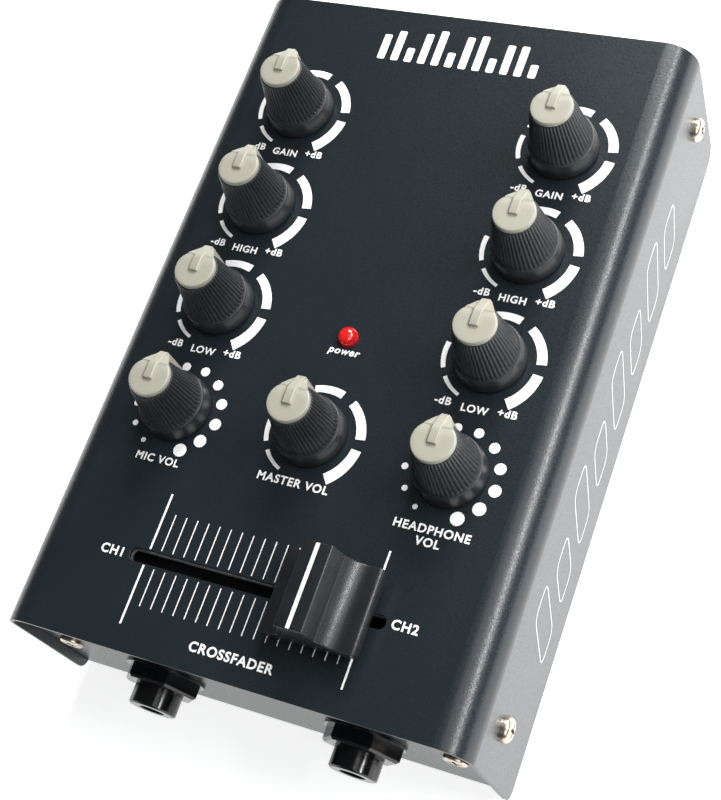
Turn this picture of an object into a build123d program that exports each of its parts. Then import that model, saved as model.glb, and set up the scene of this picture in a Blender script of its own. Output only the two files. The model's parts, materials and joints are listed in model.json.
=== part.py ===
from build123d import *
import os

# Compact two-channel DJ mixer, in millimetres.
# X runs to the channel 2 side, Y to the back, Z up. The origin is the middle of the footprint,
# on the surface that the rubber feet stand on.

# ---- case ----
case_width = 120.0
case_length = 183.0
case_height = 47.5  # from the top face to the lower edge of the cover's sides
sheet = 1.0  # steel thickness of cover and tray
cover_bend = 8.0  # outer radius of the long bends
cover_front_corner = 3.5  # rounded lower corners of the cover's sides
cover_rear_corner = 5.0
wall_recess = 2.5  # front and back walls stand this far inside the cover's edges
tray_bend = 2.5  # between the floor and the back wall
tray_gap = 0.3  # clearance between the tray or the front panel and the cover

# ---- feet, brackets and case screws ----
foot_height = 3.0
foot_radius = 6.0
foot_tip_radius = 5.2
foot_side_inset = 13.0
foot_end_inset = 14.0
bracket_leg = 12.0
bracket_height = 14.0
bracket_thickness = 1.6
case_screw_drop = 22.5  # case screws below the top face
side_screw_front_inset = 12.0
side_screw_rear_inset = 9.5
panel_screw_inset = 8.5  # from the side of the case
m3_radius = 1.5
m3_head_radius = 3.1
m3_head_height = 2.0
m3_length = 6.0
panel_screw_head_height = 1.1  # lower heads in the front and back walls
screw_clearance = 0.1
thread_gap = 0.02
screw_head_round = 0.7  # rounding of a screw's head, as a share of its height
screw_cross_arm = 1.1  # cross recess, as shares of the head's radius and height
screw_cross_width = 0.26
screw_cross_depth = 0.6
cut_over = 1.0  # how far a cutting shape runs past what it cuts

# ---- rotary controls ----
column_inset = 23.9  # outer control columns, from the sides
volume_row = 60.5  # microphone and headphone volume, from the front edge
gain_row_inset = 34.6  # gain controls, from the back edge
master_row = 62.0
knob_base_radius = 8.8
knob_collar_taper = 0.45  # the collar's top is this much smaller in radius
knob_collar_step = 0.6  # from the collar's rim in to the foot of the grip
knob_top_radius = 5.6
knob_lift = 0.6  # gap under the knob
knob_collar_height = 5.2  # top of the smooth collar, above the cover
knob_height = 17.6  # top of the black body, above the cover
knob_wall = 1.8
knob_cavity_depth = 4.6
cap_radius = 5.15
cap_height = 18.9  # flat of the pointer cap, above the cover
pointer_height = 19.6
pointer_reach = 7.1
pointer_rim_gap = 0.05  # the pointer's foot ends this far inside the collar's rim
pointer_heel = 0.8  # how far the pointer starts behind the centre
pointer_width = 2.1
pointer_root = 0.5  # the pointer's blank starts this far inside the grip

# ---- potentiometers ----
shaft_radius = 3.0
shaft_height = 14.0  # above the cover
shaft_fit = 0.05  # running clearance in the bushing
pot_radius = 8.25
bushing_radius = 3.5
bushing_height = 4.0  # above the cover
bushing_clearance = 0.2
rotor_radius = 5.6
rotor_thickness = 2.4
rotor_gap = 0.3
rotor_depth = 2.5  # below the body's mounting face
pot_nut_flats = 10.0
pot_nut_height = 2.0

# ---- control board and power light ----
board_drop = 8.5  # board's top below the cover's underside, the height of a potentiometer body
board_thickness = 1.6
board_margin = 12.0  # board beyond the outer control centres
board_front_margin = 10.0  # board in front of the fader's centre line
light_row = 88.0
light_radius = 2.5
light_hole_clearance = 0.1
light_rise = 0.3  # straight part above the cover
light_flange_radius = 2.9
light_flange_height = 1.0
light_length = 6.3
light_leg = 0.5
light_leg_spacing = 2.54

# ---- crossfader ----
fader_row = 22.9
fader_travel = 60.0
fader_rest = 18.7  # where the fader stands, from the middle towards channel 2
lever_width = 5.0
lever_thickness = 1.6
lever_top = 9.0  # above the cover
lever_slack = 0.7  # at each end of the slot
slot_width = 3.4
frame_width = 12.0
frame_wall = 0.8
frame_height = 8.0
frame_slot_width = 4.0
track_thickness = 1.0
track_gap = 0.5
rail_radius = 1.0
rail_spacing = 6.0
rail_height = 4.5  # above the board
rail_fit = 0.05
carriage_length = 10.0
carriage_width = 9.0
carriage_height = 4.0
carriage_end_gap = 2.0
fader_cap_length = 25.0  # along the travel
fader_cap_depth = 20.4
fader_cap_top = 15.1  # above the cover
fader_cap_bottom = 1.9
fader_cap_lean = 6.3  # degrees; the cap leans on its lever, with its channel 2 side up
fader_lean_pivot = 6.0  # height that it leans about
fader_ridge_width = 7.3
fader_ridge_foot = 9.6  # height where the ridge's steep flanks end
fader_wing_height = 5.7
fader_wing_flat = 3.0  # level end of a wing
fader_flank_lean = 0.6  # the ridge's flanks lean out this much
fader_scoop_step = 1.5  # the scoop's lowest curve, beyond the ridge's foot
fader_scoop_dip = 0.6  # and below the mean of the foot and the wing
lever_pocket_gap = 0.05

# ---- front jacks ----
jack_spread = 54.0  # from one jack to the other
jack_shift = 0.9  # both jacks stand this far towards channel 2
jack_drop = 27.0  # below the top face
jack_bore_radius = 3.2
jack_bore_depth = 30.0
jack_nose_radius = 6.05
jack_reach = 9.8  # nose beyond the front wall
jack_hole_clearance = 0.1
jack_body_width = 16.0
jack_body_height = 15.0
jack_back_wall = 2.0
jack_nose_edge = 0.4
jack_nut_flats = 17.2
jack_nut_height = 3.7
jack_nut_chamfer = 0.6
jack_washer_radius = 10.2
jack_washer_thickness = 0.8

# ---- rear board and sockets ----
standoff_height = 5.0
standoff_radius = 3.0
standoff_side_inset = 13.0
standoff_edge_gap = 1.0  # from a standoff to the board's edge
board_screw_radius = 1.25
board_screw_head_radius = 2.4
board_screw_head_height = 1.5
board_screw_floor_gap = 1.0
rear_board_depth = 33.0
rear_board_side_gap = 9.0
first_socket_inset = 26.0  # from the left side to the first phono pair
inlet_inset = 22.0  # from the right side to the power inlet
phono_block_width = 10.5
phono_block_depth = 12.0
phono_block_height = 28.0
phono_first_height = 7.0  # lower socket above the rear board
phono_pitch = 14.0
phono_reach = 9.0
phono_shell_radius = 4.15
phono_shell_wall = 0.45
phono_insert_gap = 0.05
phono_insert_recess = 0.6
phono_contact_radius = 1.65
phono_hole_clearance = 0.1
inlet_width = 9.0
inlet_depth = 14.0
inlet_height = 11.0
inlet_nose_radius = 4.0
inlet_nose_reach = 0.5
inlet_hole_clearance = 0.15
inlet_bore_radius = 2.85
inlet_bore_depth = 9.0
inlet_pin_radius = 1.05
inlet_pin_recess = 1.0
header_length = 24.0
header_depth = 5.0
header_height = 6.0
ribbon_width = 20.0
ribbon_thickness = 0.9
ribbon_offset = 4.0
ribbon_bend = 1.2

# ---- places worked out from the sizes above ----
half_width = case_width / 2
half_length = case_length / 2
case_bottom = foot_height
case_top = case_bottom + case_height
cover_under = case_top - sheet
inner_width = half_width - sheet
wall_front = -(half_length - wall_recess)  # outer face of the front wall
wall_back = half_length - wall_recess
floor_top = case_bottom + sheet
tray_side = inner_width - tray_gap
tray_top = cover_under - tray_gap
board_top = cover_under - board_drop
board_under = board_top - board_thickness
rear_board_under = floor_top + standoff_height
rear_board_top = rear_board_under + board_thickness
case_screw_z = case_top - case_screw_drop
knob_rim_radius = knob_base_radius - knob_collar_taper
knob_grip_radius = knob_rim_radius - knob_collar_step
column_x = half_width - column_inset
volume_y = volume_row - half_length
gain_y = half_length - gain_row_inset
row_pitch = (gain_y - volume_y) / 3
low_y = volume_y + row_pitch
high_y = volume_y + 2 * row_pitch
light_y = light_row - half_length
fader_y = fader_row - half_length
slot_length = fader_travel + lever_width + 2 * lever_slack
frame_inner_length = fader_travel + carriage_length + 2 * carriage_end_gap
board_front = fader_y - board_front_margin
jack_z = case_top - jack_drop
rear_board_back = wall_back - sheet - tray_gap
rear_board_front = rear_board_back - rear_board_depth

controls = {
    "ch1_gain": (-column_x, gain_y),
    "ch1_high": (-column_x, high_y),
    "ch1_low": (-column_x, low_y),
    "mic_volume": (-column_x, volume_y),
    "master_volume": (0, master_row - half_length),
    "headphone_volume": (column_x, volume_y),
    "ch2_low": (column_x, low_y),
    "ch2_high": (column_x, high_y),
    "ch2_gain": (column_x, gain_y),
}
jacks = {"mic": jack_shift - jack_spread / 2, "headphone": jack_shift + jack_spread / 2}
first_socket_x = first_socket_inset - half_width
inlet_x = half_width - inlet_inset
socket_pitch = (inlet_x - first_socket_x) / 3
phono_pairs = {
    "line_in_1": first_socket_x,
    "line_in_2": first_socket_x + socket_pitch,
    "master_out": first_socket_x + 2 * socket_pitch,
}
phono_insert_radius = phono_shell_radius - phono_shell_wall - phono_insert_gap
phono_heights = [rear_board_top + phono_first_height, rear_board_top + phono_first_height + phono_pitch]


# ---- helpers ----
def block(x, y, z):
    """A box from three (low, high) pairs."""
    size = [pair[1] - pair[0] for pair in (x, y, z)]
    return Pos(x[0], y[0], z[0]) * Box(*size, align=Align.MIN)


def rod(radius, low, high, x=0.0, y=0.0):
    """An upright cylinder."""
    return Pos(x, y, low) * Cylinder(radius, high - low, align=(Align.CENTER, Align.CENTER, Align.MIN))


def rod_y(radius, front, back, x, z):
    """A cylinder lying front to back."""
    return Pos(x, front, z) * Rot(-90, 0, 0) * rod(radius, 0, back - front)


def rod_x(radius, left, right, y, z):
    """A cylinder lying left to right."""
    return Pos(left, y, z) * Rot(0, 90, 0) * rod(radius, 0, right - left)


def hexagon(flats, height):
    """An upright hexagonal prism that stands on z = 0."""
    return extrude(RegularPolygon(flats / 2, 6, major_radius=False), height)


def turned(points):
    """A solid of revolution about Z from (radius, height) points."""
    outline = Polyline(*[(radius, 0, height) for radius, height in points], close=True)
    return revolve(make_face(outline), Axis.Z)


def pan_screw(radius, head_radius, head_height, length):
    """A cross-head screw that points down, with the underside of its head at z = 0."""
    head = rod(head_radius, 0, head_height)
    head = fillet(head.edges().sort_by(Axis.Z)[-1], head_height * screw_head_round)
    arm, width = head_radius * screw_cross_arm, head_radius * screw_cross_width
    depth = head_height * screw_cross_depth
    recess = [Pos(0, 0, head_height) * Box(a, b, 2 * depth) for a, b in ((arm, width), (width, arm))]
    return head - recess + rod(radius, -length, 0)


# ---- case ----
def top_cover():
    outer = block((-half_width, half_width), (-half_length, half_length), (case_bottom, case_top))
    outer = fillet(outer.edges().filter_by(Axis.Y).group_by(Axis.Z)[-1], cover_bend)
    inner = block((-inner_width, inner_width), (-half_length, half_length), (0, cover_under))
    inner = fillet(inner.edges().filter_by(Axis.Y).group_by(Axis.Z)[-1], cover_bend - sheet)
    cover = outer - inner
    low = cover.edges().filter_by(Axis.X).group_by(Axis.Z)[0]
    cover = fillet(low.group_by(Axis.Y)[0], cover_front_corner)
    low = cover.edges().filter_by(Axis.X).group_by(Axis.Z)[0]
    cover = fillet(low.group_by(Axis.Y)[-1], cover_rear_corner)
    below, above = cover_under - cut_over, case_top + cut_over
    holes = [rod(bushing_radius + bushing_clearance, below, above, x, y) for x, y in controls.values()]
    holes.append(rod(light_radius + light_hole_clearance, below, above, 0, light_y))
    slot = extrude(SlotOverall(slot_length, slot_width), above - below)
    holes.append(Pos(0, fader_y, below) * slot)
    for y in side_screw_rows():
        holes.append(rod_x(m3_radius + screw_clearance, -case_width, case_width, y, case_screw_z))
    return cover - holes


def side_screw_rows():
    return side_screw_front_inset - half_length, half_length - side_screw_rear_inset


def front_panel():
    """A flat plate between the cover's sides, in front of the tray's floor."""
    face, inner_face = wall_front, wall_front + sheet
    plate = block((-tray_side, tray_side), (face, inner_face), (case_bottom, tray_top))
    plate = fillet(plate.edges().filter_by(Axis.Y).group_by(Axis.Z)[-1], cover_bend - sheet)
    holes = [rod_y(jack_nose_radius + jack_hole_clearance, face, inner_face, x, jack_z)
             for x in jacks.values()]
    return plate - holes - panel_screw_holes(face, inner_face)


def base_tray():
    """The floor and the back wall, bent from one sheet."""
    front, face, inner_face = wall_front + sheet, wall_back, wall_back - sheet
    outer = block((-tray_side, tray_side), (front, face), (case_bottom, tray_top))
    outer = fillet(outer.edges().filter_by(Axis.X).group_by(Axis.Z)[0].sort_by(Axis.Y)[-1], tray_bend)
    inner = block((-tray_side, tray_side), (front, inner_face), (floor_top, tray_top))
    inner = fillet(inner.edges().filter_by(Axis.X).group_by(Axis.Z)[0].sort_by(Axis.Y)[-1],
                   tray_bend - sheet)
    tray = outer - inner
    tray = fillet(tray.edges().filter_by(Axis.Y).group_by(Axis.Z)[-1], cover_bend - sheet)
    holes = [rod_y(inlet_nose_radius + inlet_hole_clearance, inner_face, face, inlet_x, inlet_z())]
    for x in phono_pairs.values():
        radius = phono_insert_radius + phono_hole_clearance
        holes += [rod_y(radius, inner_face, face, x, z) for z in phono_heights]
    return tray - holes - panel_screw_holes(inner_face, face)


def panel_screw_holes(front, back):
    x = half_width - panel_screw_inset
    return [rod_y(m3_radius + screw_clearance, front, back, a, case_screw_z) for a in (-x, x)]


def corner_bracket(side, end):
    """An angle that ties a wall to the cover's side; side and end are -1 or 1."""
    low, high = case_screw_z - bracket_height / 2, case_screw_z + bracket_height / 2
    corner_x, corner_y = side * inner_width, end * (half_length - wall_recess - sheet)
    near_x, far_x = sorted((corner_x, corner_x - side * bracket_leg))
    near_y, far_y = sorted((corner_y, corner_y - end * bracket_leg))
    angle = block((near_x, far_x), (near_y, far_y), (low, high))
    open_x, open_y = corner_x - side * bracket_thickness, corner_y - end * bracket_thickness
    beyond_x, beyond_y = corner_x - side * 2 * bracket_leg, corner_y - end * 2 * bracket_leg
    angle -= block(sorted((open_x, beyond_x)), sorted((open_y, beyond_y)), (low, high))
    tapped = m3_radius + thread_gap
    screw_y = side_screw_rows()[0 if end < 0 else 1]
    screw_x = side * (half_width - panel_screw_inset)
    across = sorted((corner_x + side * cut_over, open_x - side * cut_over))
    along = sorted((corner_y + end * cut_over, open_y - end * cut_over))
    angle -= rod_x(tapped, *across, screw_y, case_screw_z)
    angle -= rod_y(tapped, *along, screw_x, case_screw_z)
    return angle


def case_screw(head_height):
    return pan_screw(m3_radius, m3_head_radius, head_height, m3_length)


def side_screws():
    rows = side_screw_rows()
    left = [Pos(-half_width, y, case_screw_z) * Rot(0, -90, 0) * case_screw(m3_head_height) for y in rows]
    right = [Pos(half_width, y, case_screw_z) * Rot(0, 90, 0) * case_screw(m3_head_height) for y in rows]
    return left + right


def panel_screws():
    screw = case_screw(panel_screw_head_height)
    screws = []
    for x in (panel_screw_inset - half_width, half_width - panel_screw_inset):
        screws.append(Pos(x, wall_front, case_screw_z) * Rot(90, 0, 0) * screw)
        screws.append(Pos(x, wall_back, case_screw_z) * Rot(-90, 0, 0) * screw)
    return screws


def rubber_feet():
    x, y = half_width - foot_side_inset, half_length - foot_end_inset
    outline = [(0, 0), (foot_tip_radius, 0), (foot_radius, foot_height), (0, foot_height)]
    return [Pos(a, b, 0) * turned(outline) for a in (-x, x) for b in (-y, y)]


# ---- rotary controls ----
def knob_body():
    """The black body: a smooth collar and a tapered grip, hollow over the nut, bored for the shaft."""
    outline = [
        (0, knob_lift), (knob_base_radius, knob_lift), (knob_rim_radius, knob_collar_height),
        (knob_grip_radius, knob_collar_height), (knob_top_radius, knob_height), (0, knob_height),
    ]
    hollow = rod(knob_base_radius - knob_wall, 0, knob_lift + knob_cavity_depth)
    return turned(outline) - hollow - rod(shaft_radius + thread_gap, 0, shaft_height)


def pointer_cap():
    """The cap disc with a raised pointer that runs over its edge and down the side of the grip."""
    disc = rod(cap_radius, knob_height, cap_height)
    fin = Polyline(
        (0, -pointer_heel, knob_height), (0, -pointer_heel, pointer_height),
        (0, pointer_reach, pointer_height),
        (0, knob_rim_radius - pointer_rim_gap, knob_collar_height),
        (0, knob_grip_radius - pointer_root, knob_collar_height), close=True,
    )
    fin = extrude(make_face(fin), pointer_width / 2, dir=(1, 0, 0), both=True)
    return disc + (fin - turned_grip())


def turned_grip():
    """The space inside the grip's cone, which the pointer stands against."""
    cone = [(0, 0), (knob_grip_radius, 0), (knob_grip_radius, knob_collar_height),
            (knob_top_radius, knob_height), (0, knob_height)]
    return turned(cone)


def pot_shaft():
    low = -sheet - rotor_depth - rotor_gap - rotor_thickness
    return rod(shaft_radius, low, shaft_height) + rod(rotor_radius, low, low + rotor_thickness)


def potentiometer():
    """A round body under the cover with a threaded bushing through it; z = 0 is the cover's face."""
    body = rod(pot_radius, -sheet - board_drop, -sheet) + rod(bushing_radius, -sheet, bushing_height)
    bore = rod(shaft_radius + shaft_fit, -sheet - rotor_depth, bushing_height + cut_over)
    cavity_depth = rotor_thickness + 2 * rotor_gap
    cavity = rod(rotor_radius + rotor_gap, -sheet - rotor_depth - cavity_depth, -sheet - rotor_depth)
    return body - bore - cavity


def pot_nut():
    return hexagon(pot_nut_flats, pot_nut_height) - rod(bushing_radius + thread_gap, 0, pot_nut_height)


def at_controls(piece):
    return [Pos(x, y, case_top) * piece for x, y in controls.values()]


# ---- control board and power light ----
def control_board():
    x = column_x + board_margin
    return block((-x, x), (board_front, gain_y + board_margin), (board_under, board_top))


def light_base():
    return case_top + light_rise - light_length


def power_light():
    base, shoulder = light_base(), case_top + light_rise
    lens = rod(light_radius, base, shoulder, 0, light_y) + Pos(0, light_y, shoulder) * Sphere(light_radius)
    return lens + rod(light_flange_radius, base, base + light_flange_height, 0, light_y)


def light_legs():
    legs = []
    for side in (-1, 1):
        x = side * light_leg_spacing / 2
        legs.append(Pos(x, light_y, board_top) * Box(
            light_leg, light_leg, light_base() - board_top, align=(Align.CENTER, Align.CENTER, Align.MIN)))
    return legs


# ---- crossfader ----
def fader_frame():
    x, y = frame_inner_length / 2 + frame_wall, frame_width / 2
    roof = board_top + frame_height
    frame = block((-x, x), (-y, y), (board_top, roof))
    frame -= block((frame_wall - x, x - frame_wall), (frame_wall - y, y - frame_wall),
                   (board_top, roof - frame_wall))
    frame -= Pos(0, 0, roof - 2 * frame_wall) * extrude(
        SlotOverall(slot_length, frame_slot_width), 3 * frame_wall)
    return Pos(0, fader_y, 0) * frame


def fader_track():
    x, y = frame_inner_length / 2 - track_gap, frame_width / 2 - frame_wall - track_gap
    return block((-x, x), (fader_y - y, fader_y + y), (board_top, board_top + track_thickness))


def rail_rows():
    return fader_y - rail_spacing / 2, fader_y + rail_spacing / 2


def fader_rails():
    x = frame_inner_length / 2
    return [rod_x(rail_radius, -x, x, y, board_top + rail_height) for y in rail_rows()]


def carriage_top():
    return board_top + rail_height + carriage_height / 2


def fader_carriage():
    x, y = (fader_rest - carriage_length / 2, fader_rest + carriage_length / 2), carriage_width / 2
    slider = block(x, (fader_y - y, fader_y + y), (carriage_top() - carriage_height, carriage_top()))
    bores = [rod_x(rail_radius + rail_fit, x[0], x[1], row, board_top + rail_height) for row in rail_rows()]
    return slider - bores


def fader_lever():
    x, y = lever_width / 2, lever_thickness / 2
    return block((fader_rest - x, fader_rest + x), (fader_y - y, fader_y + y),
                 (carriage_top(), case_top + lever_top))


def fader_cap():
    """A grip with a flat ridge in the middle and a scooped wing on each side."""
    end, ridge = fader_cap_length / 2, fader_ridge_width / 2
    foot, level = ridge + fader_flank_lean, end - fader_wing_flat
    scoop = foot + fader_scoop_step, (fader_ridge_foot + fader_wing_height) / 2 - fader_scoop_dip

    def half(side):
        return [
            Line((side * ridge, fader_cap_top), (side * foot, fader_ridge_foot)),
            ThreePointArc((side * foot, fader_ridge_foot), (side * scoop[0], scoop[1]),
                          (side * level, fader_wing_height)),
            Line((side * level, fader_wing_height), (side * end, fader_wing_height)),
            Line((side * end, fader_wing_height), (side * end, fader_cap_bottom)),
        ]

    outline = half(-1) + half(1) + [
        Line((-ridge, fader_cap_top), (ridge, fader_cap_top)),
        Line((-end, fader_cap_bottom), (end, fader_cap_bottom)),
    ]
    profile = Plane.XZ * make_face(outline)
    cap = extrude(profile, fader_cap_depth / 2, both=True)
    cap = Pos(0, 0, fader_lean_pivot) * Rot(0, -fader_cap_lean, 0) * Pos(0, 0, -fader_lean_pivot) * cap
    cap -= block((-lever_width / 2 - lever_pocket_gap, lever_width / 2 + lever_pocket_gap),
                 (-lever_thickness / 2 - lever_pocket_gap, lever_thickness / 2 + lever_pocket_gap),
                 (0, lever_top))
    return Pos(fader_rest, fader_y, case_top) * cap


# ---- front jacks ----
def jack(x):
    """A 6.35 mm socket: a block behind the front wall and a round nose through it."""
    inner_face = wall_front + sheet
    mouth = wall_front - jack_reach
    back = mouth + jack_bore_depth + jack_back_wall
    nose = rod_y(jack_nose_radius, mouth, inner_face, x, jack_z)
    nose = chamfer(nose.edges().sort_by(Axis.Y)[0], jack_nose_edge)
    half_w, half_h = jack_body_width / 2, jack_body_height / 2
    body = block((x - half_w, x + half_w), (inner_face, back), (jack_z - half_h, jack_z + half_h))
    return nose + body - rod_y(jack_bore_radius, mouth, mouth + jack_bore_depth, x, jack_z)


def jack_washer(x):
    face = wall_front - jack_washer_thickness
    hole = rod_y(jack_nose_radius + thread_gap, face, wall_front, x, jack_z)
    return rod_y(jack_washer_radius, face, wall_front, x, jack_z) - hole


def jack_nut(x):
    nut = hexagon(jack_nut_flats, jack_nut_height)
    nut = chamfer(nut.edges().group_by(Axis.Z)[-1], jack_nut_chamfer)
    nut -= rod(jack_nose_radius + thread_gap, 0, jack_nut_height)
    return Pos(x, wall_front - jack_washer_thickness, jack_z) * Rot(90, 0, 0) * nut


# ---- rear board and sockets ----
def standoff_places():
    x = half_width - standoff_side_inset
    inset = standoff_radius + standoff_edge_gap
    rows = rear_board_front + inset, rear_board_back - inset
    return [(a, b) for a in (-x, x) for b in rows]


def rear_board():
    x = half_width - rear_board_side_gap
    board = block((-x, x), (rear_board_front, rear_board_back), (rear_board_under, rear_board_top))
    drill = board_screw_radius + screw_clearance
    return board - [rod(drill, 0, case_top, a, b) for a, b in standoff_places()]


def board_standoffs():
    tube = rod(standoff_radius, floor_top, rear_board_under)
    tube -= rod(board_screw_radius + thread_gap, floor_top, rear_board_under)
    return [Pos(x, y, 0) * tube for x, y in standoff_places()]


def board_screws():
    length = board_thickness + standoff_height - board_screw_floor_gap
    screw = pan_screw(board_screw_radius, board_screw_head_radius, board_screw_head_height, length)
    return [Pos(x, y, rear_board_top) * screw for x, y in standoff_places()]


def phono_block(x):
    half, face = phono_block_width / 2, wall_back - sheet
    return block((x - half, x + half), (face - phono_block_depth, face),
                 (rear_board_top, rear_board_top + phono_block_height))


def phono_shell(x, z):
    mouth = wall_back + phono_reach
    inside = rod_y(phono_shell_radius - phono_shell_wall, wall_back, mouth, x, z)
    return rod_y(phono_shell_radius, wall_back, mouth, x, z) - inside


def phono_insert(x, z):
    face, mouth = wall_back - sheet, wall_back + phono_reach - phono_insert_recess
    hole = rod_y(phono_contact_radius, face, mouth, x, z)
    return rod_y(phono_insert_radius, face, mouth, x, z) - hole


def inlet_z():
    return rear_board_top + inlet_height / 2


def power_inlet():
    face, mouth = wall_back - sheet, wall_back + inlet_nose_reach
    body = block((inlet_x - inlet_width / 2, inlet_x + inlet_width / 2), (face - inlet_depth, face),
                 (rear_board_top, rear_board_top + inlet_height))
    body += rod_y(inlet_nose_radius, face, mouth, inlet_x, inlet_z())
    return body - rod_y(inlet_bore_radius, mouth - inlet_bore_depth, mouth, inlet_x, inlet_z())


def power_pin():
    mouth = wall_back + inlet_nose_reach
    return rod_y(inlet_pin_radius, mouth - inlet_bore_depth, mouth - inlet_pin_recess, inlet_x, inlet_z())


def ribbon_ends():
    """Front to back places of the upper and the lower header."""
    lower = rear_board_front + header_depth
    return lower - ribbon_offset, lower


def ribbon_headers():
    upper, lower = ribbon_ends()
    half = header_depth / 2
    x = (-header_length / 2, header_length / 2)
    return [
        block(x, (upper - half, upper + half), (board_under - header_height, board_under)),
        block(x, (lower - half, lower + half), (rear_board_top, rear_board_top + header_height)),
    ]


def ribbon_cable():
    upper, lower = ribbon_ends()
    top, bottom = board_under - header_height, rear_board_top + header_height
    third = (top - bottom) / 3
    path = FilletPolyline(
        (upper, top), (upper, top - third), (lower, bottom + third), (lower, bottom), radius=ribbon_bend)
    strip = trace(path, ribbon_thickness)
    strip = Plane.YZ * strip
    flat = extrude(strip, ribbon_width / 2, both=True)
    return flat & block((-case_width, case_width), (-case_length, case_length), (bottom, top))


# ---- every piece, by name ----
pieces = {
    "top_cover": top_cover(),
    "front_panel": front_panel(),
    "base_tray": base_tray(),
    "corner_brackets": [corner_bracket(side, end) for side in (-1, 1) for end in (-1, 1)],
    "side_screws": side_screws(),
    "panel_screws": panel_screws(),
    "rubber_feet": rubber_feet(),
    "potentiometers": at_controls(potentiometer()),
    "pot_nuts": at_controls(pot_nut()),
    "control_board": control_board(),
    "power_light": power_light(),
    "power_light_legs": light_legs(),
    "fader_frame": fader_frame(),
    "fader_track": fader_track(),
    "fader_rails": fader_rails(),
    "fader_carriage": fader_carriage(),
    "fader_lever": fader_lever(),
    "fader_cap": fader_cap(),
    "jack_washers": [jack_washer(x) for x in jacks.values()],
    "jack_nuts": [jack_nut(x) for x in jacks.values()],
    "rear_board": rear_board(),
    "board_standoffs": board_standoffs(),
    "board_screws": board_screws(),
    "phono_blocks": [phono_block(x) for x in phono_pairs.values()],
    "phono_shells": [phono_shell(x, z) for x in phono_pairs.values() for z in phono_heights],
    "phono_inserts_red": [phono_insert(x, phono_heights[0]) for x in phono_pairs.values()],
    "phono_inserts_white": [phono_insert(x, phono_heights[1]) for x in phono_pairs.values()],
    "power_inlet": power_inlet(),
    "power_pin": power_pin(),
    "ribbon_headers": ribbon_headers(),
    "ribbon_cable": ribbon_cable(),
}
for name, x in jacks.items():
    pieces[name + "_jack"] = jack(x)
for name, (x, y) in controls.items():
    place = Pos(x, y, case_top)
    pieces["knob_" + name] = place * knob_body()
    pieces["pointer_cap_" + name] = place * pointer_cap()
    pieces["pot_shaft_" + name] = place * pot_shaft()

os.makedirs("parts", exist_ok=True)
for name, piece in pieces.items():
    solid = Compound(children=piece) if isinstance(piece, list) else piece
    export_step(solid, f"parts/{name}.step")
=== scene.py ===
"""Looks of a compact two-channel DJ mixer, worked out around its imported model.

Everything is in metres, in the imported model's frame: X to the channel 2 side, Y to the back,
Z up, and z = 0 is the surface that the rubber feet stand on.
"""

import json
import math

import bpy
import numpy as np
from bpy.props import FloatProperty, FloatVectorProperty, IntProperty, PointerProperty
from mathutils import Matrix, Vector

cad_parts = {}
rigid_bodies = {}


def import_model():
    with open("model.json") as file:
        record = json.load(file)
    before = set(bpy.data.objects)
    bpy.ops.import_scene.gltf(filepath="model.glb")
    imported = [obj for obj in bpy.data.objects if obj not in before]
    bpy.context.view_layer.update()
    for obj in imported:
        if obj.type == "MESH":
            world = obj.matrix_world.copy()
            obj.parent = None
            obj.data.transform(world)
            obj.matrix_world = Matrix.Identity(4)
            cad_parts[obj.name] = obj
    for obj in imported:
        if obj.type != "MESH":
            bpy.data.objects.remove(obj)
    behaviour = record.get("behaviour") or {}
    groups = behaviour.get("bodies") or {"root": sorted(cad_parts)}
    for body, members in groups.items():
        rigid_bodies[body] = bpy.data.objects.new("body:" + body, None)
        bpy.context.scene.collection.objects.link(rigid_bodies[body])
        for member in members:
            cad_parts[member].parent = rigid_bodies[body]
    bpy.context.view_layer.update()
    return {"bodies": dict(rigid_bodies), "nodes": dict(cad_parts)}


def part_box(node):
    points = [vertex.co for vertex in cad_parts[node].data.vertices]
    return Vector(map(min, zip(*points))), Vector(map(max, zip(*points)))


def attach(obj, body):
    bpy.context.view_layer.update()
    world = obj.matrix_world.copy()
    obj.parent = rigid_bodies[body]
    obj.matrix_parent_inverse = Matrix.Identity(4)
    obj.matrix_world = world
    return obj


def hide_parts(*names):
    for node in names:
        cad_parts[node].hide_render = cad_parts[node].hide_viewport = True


bl_info = {
    "name": "Two-channel DJ mixer",
    "version": (1, 0, 0),
    "blender": (4, 5, 0),
    "location": "3D View > Sidebar > Mixer",
    "description": "Knobs, caps, print and finishes of a compact DJ mixer, and a studio to see it in",
    "category": "Object",
}

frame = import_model()
MM = 0.001

# ---- places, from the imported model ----
COVER_LOW, COVER_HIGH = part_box("top_cover")
TOP = COVER_HIGH.z  # the cover's face
SIDE = COVER_HIGH.x  # outer face of the channel 2 side
FRONT = COVER_LOW.y  # front edge of the cover
CONTROLS = sorted(body[len("control_"):] for body in frame["bodies"] if body.startswith("control_"))


def centre(node):
    """Middle of a node's box."""
    low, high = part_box(node)
    return (low + high) / 2


# ---- colours and nodes ----
def srgb(code):
    """Linear colour of an sRGB hex code: the curve is a straight line near black and a power above."""
    parts = [int(code[i:i + 2], 16) / 255 for i in (1, 3, 5)]
    return tuple(c / 12.92 if c <= 0.04045 else ((c + 0.055) / 1.055) ** 2.4 for c in parts)


def add(tree, kind, inputs=None, **settings):
    """Adds a node. Inputs maps a socket's name or number to a value, or to the output that feeds it."""
    made = tree.nodes.new(kind)
    for name, value in settings.items():
        setattr(made, name, value)
    for name, value in (inputs or {}).items():
        socket = made.inputs[name]
        if isinstance(value, bpy.types.NodeSocket):
            tree.links.new(value, socket)
        else:
            socket.default_value = (*value[:3], 1.0) if socket.type == "RGBA" else value
    return made


def new_finish(name):
    """An empty material: the material, its node tree and its Object coordinates."""
    material = bpy.data.materials.new(name)
    material.use_nodes = True
    tree = material.node_tree
    tree.nodes.clear()
    return material, tree, add(tree, "ShaderNodeTexCoord").outputs["Object"]


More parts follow.
